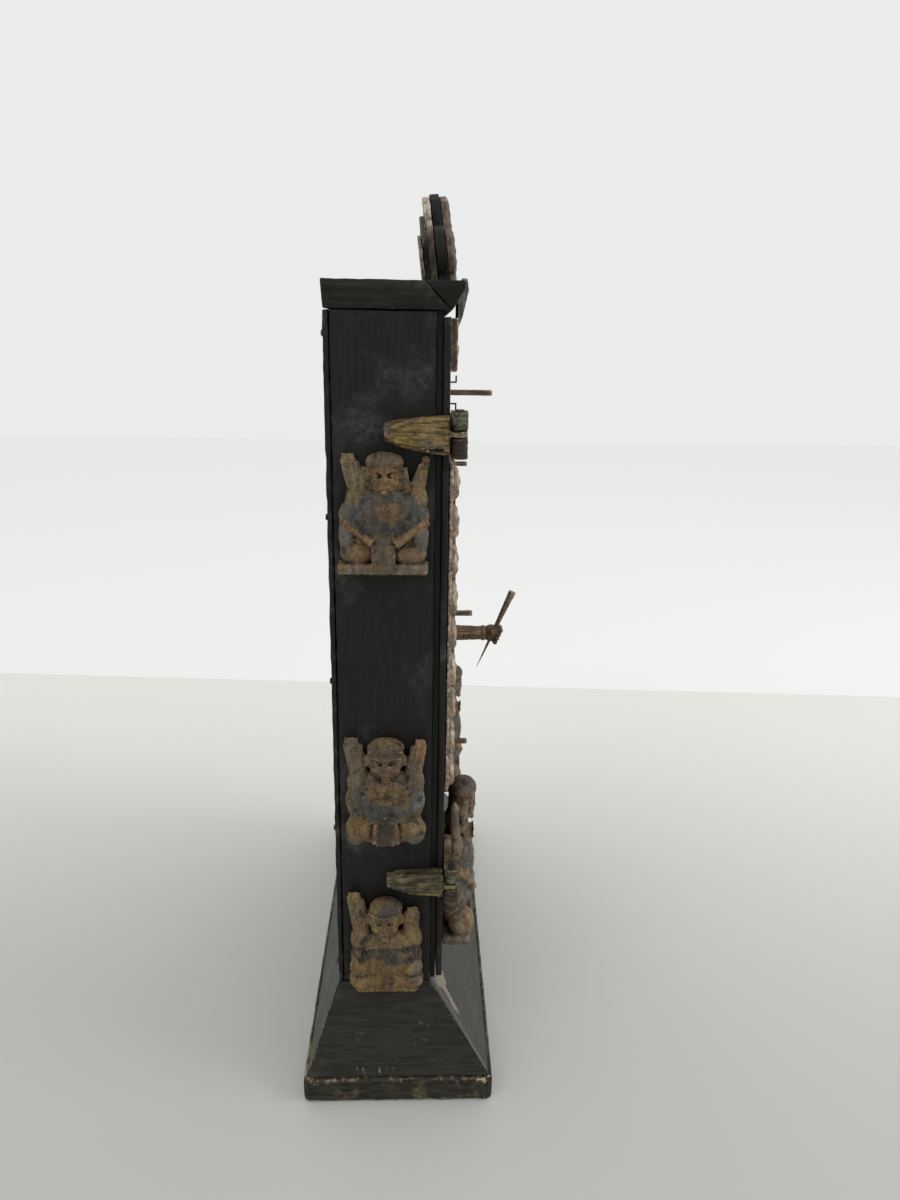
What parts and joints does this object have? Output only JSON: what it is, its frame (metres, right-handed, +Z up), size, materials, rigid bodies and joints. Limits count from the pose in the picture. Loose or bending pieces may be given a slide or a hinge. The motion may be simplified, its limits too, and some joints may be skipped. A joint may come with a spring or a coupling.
{
  "type": "wooden pachinko cabinet",
  "caption": "Upright wooden ball game in a narrow case on a splayed base: hinged playfield door with pins and pockets, sprung fist handle, carved figures.",
  "frame": {"origin": "centre of the base's underside", "axes": "+X to the right, -Y towards the player, +Z up"},
  "size_m": [0.414, 0.1927, 0.7063],
  "materials": {
    "ebonised_wood": "worn black stain over softwood",
    "plinth_wood": "black stain rubbed through to ochre",
    "gilt_carving": "carved wood, worn ochre and brown paint",
    "hinge_wood": "carved wood, ochre paint",
    "painted_relief": "carved wood, cream and rust paint",
    "crest_carving": "carved wood, pinkish brown",
    "cream_wood": "cream paint on thin wood",
    "grey_wood": "weathered grey wood",
    "bare_wood": "bare hardwood",
    "inner_wood": "unpainted softwood",
    "iron": "dark iron",
    "spring_steel": "dull steel",
    "brass": "tarnished brass"
  },
  "bodies": {
    "cabinet": {"base_plinth": "plinth_wood", "base_slope_front": "ebonised_wood", "base_slope_back": "ebonised_wood", "base_slope_left": "ebonised_wood", "base_slope_right": "ebonised_wood", "side_panel_left": "ebonised_wood", "side_panel_right": "ebonised_wood", "back_panel": "ebonised_wood", "top_board": "ebonised_wood", "cornice_front": "ebonised_wood", "cornice_left": "ebonised_wood", "cornice_right": "ebonised_wood", "crest_board": "ebonised_wood", "door_stops": "ebonised_wood", "crest_fan_dark": "ebonised_wood", "case_floor": "inner_wood", "catch_tray": "inner_wood", "crest_relief": "crest_carving", "crest_fan_cream": "cream_wood", "crest_fan_grey": "grey_wood", "figure_left_upper": "gilt_carving", "figure_left_middle": "gilt_carving", "figure_left_lower": "gilt_carving", "figure_right_upper": "gilt_carving", "figure_right_middle": "gilt_carving", "figure_right_lower": "gilt_carving", "hinge_arm_upper": "hinge_wood", "hinge_arm_lower": "hinge_wood", "back_nails": "iron"},
    "door": {"door_board": "ebonised_wood", "batten_top": "inner_wood", "batten_bottom": "inner_wood", "hinge_hand_upper": "hinge_wood", "hinge_hand_lower": "hinge_wood", "hinge_pin_upper": "iron", "hinge_pin_lower": "iron", "border_left": "painted_relief", "border_right": "painted_relief", "border_arch": "painted_relief", "cartouche": "grey_wood", "peg_long": "bare_wood", "peg_upper": "bare_wood", "peg_middle": "bare_wood", "peg_lower": "bare_wood", "wire_hooks": "iron", "pocket_cups": "painted_relief", "playfield_pins": "brass", "rail_outer": "bare_wood", "rail_inner": "bare_wood", "front_tray": "painted_relief", "figure_front_left": "gilt_carving", "figure_front_right": "gilt_carving", "handle_bushing": "bare_wood", "spring_block": "inner_wood", "return_spring": "spring_steel"},
    "handle": {"handle_arm": "bare_wood", "striker": "inner_wood", "striker_key": "iron"},
    "spike": {"spike_peg": "bare_wood"}
  },
  "joints": [
    {"name": "door_swing", "type": "hinge", "parent": "cabinet", "child": "door", "pos_m": [-0.181, -0.041, 0.35], "axis": [0, 0, -1], "range_deg": [0, 110]},
    {"name": "handle_turn", "type": "hinge", "parent": "door", "child": "handle", "pos_m": [0.108, -0.0351, 0.2947], "axis": [0, 1, 0], "range_deg": [0, 30], "stiffness_Nm_per_rad": 0.2, "springref_deg": -17.19, "deforming": ["return_spring"]},
    {"name": "spike_lift", "type": "slide", "parent": "handle", "child": "spike", "axis": [0, -0.3891, 0.9212], "range_m": [0, 0.06]}
  ]
}
